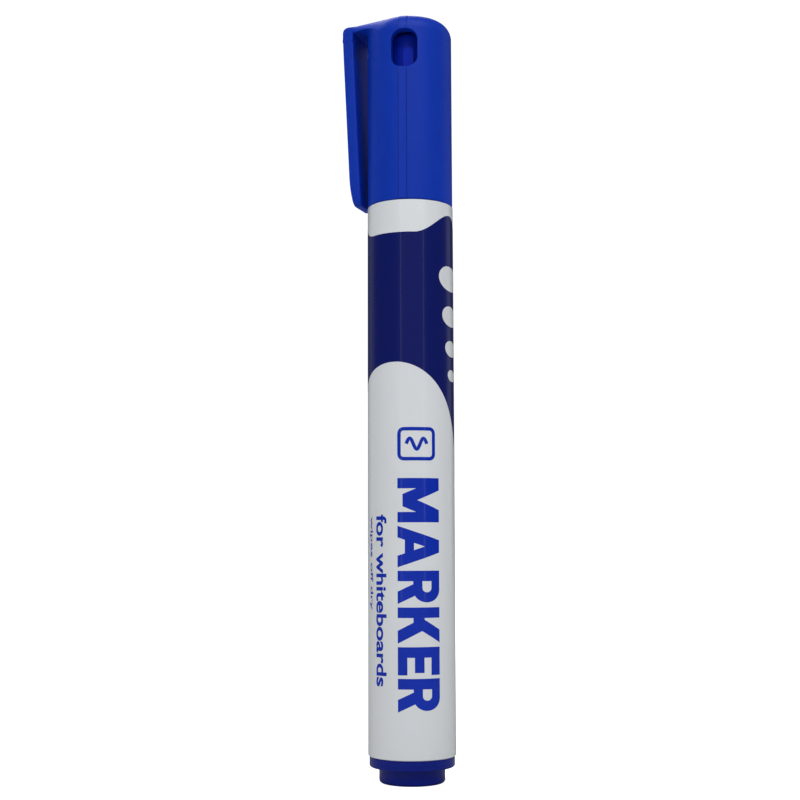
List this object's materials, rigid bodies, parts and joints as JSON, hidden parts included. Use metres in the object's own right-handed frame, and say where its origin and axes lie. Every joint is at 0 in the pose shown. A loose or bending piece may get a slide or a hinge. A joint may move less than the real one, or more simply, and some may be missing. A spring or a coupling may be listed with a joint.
{
  "type": "whiteboard marker",
  "caption": "Capped whiteboard marker: straight round barrel, clip cap that pulls off the bullet nib, vented cap wall and a stepped tail plug that it stands on.",
  "frame": {"origin": "centre of the flat face at the tail, on which the marker stands", "axes": "+Z along the marker towards the top of the cap, -Y to the front (the side with the lettering), +X to the right seen from the front; the clip is on the -X side"},
  "size_m": [0.0201, 0.0155, 0.137],
  "materials": {
    "barrel_white": "smooth white moulded polypropylene with a printed surface",
    "cap_blue": "satin blue moulded polypropylene",
    "plug_blue": "satin deep blue moulded polypropylene",
    "holder_white": "plain white moulded polypropylene",
    "nib_fibre": "bonded acrylic fibre, ink soaked",
    "reservoir_fibre": "polyester fibre bundle, ink soaked",
    "film_clear": "thin clear wrap film"
  },
  "bodies": {
    "marker_body": {"barrel": "barrel_white", "end_plug": "plug_blue", "nib_holder": "holder_white", "nib": "nib_fibre", "ink_reservoir": "reservoir_fibre", "reservoir_film": "film_clear"},
    "cap_body": {"cap": "cap_blue", "inner_cap": "cap_blue"},
    "clip_blade": {"clip": "cap_blue"}
  },
  "joints": [
    {"name": "cap_pull", "type": "slide", "parent": "marker_body", "child": "cap_body", "axis": [0, 0, 1], "range_m": [0, 0.038]},
    {"name": "clip_flex", "type": "hinge", "parent": "cap_body", "child": "clip_blade", "pos_m": [-0.00998, 0.00353, 0.131], "axis": [0.3338, 0.9426, 0], "range_deg": [0, 4], "stiffness_Nm_per_rad": 0.8}
  ]
}
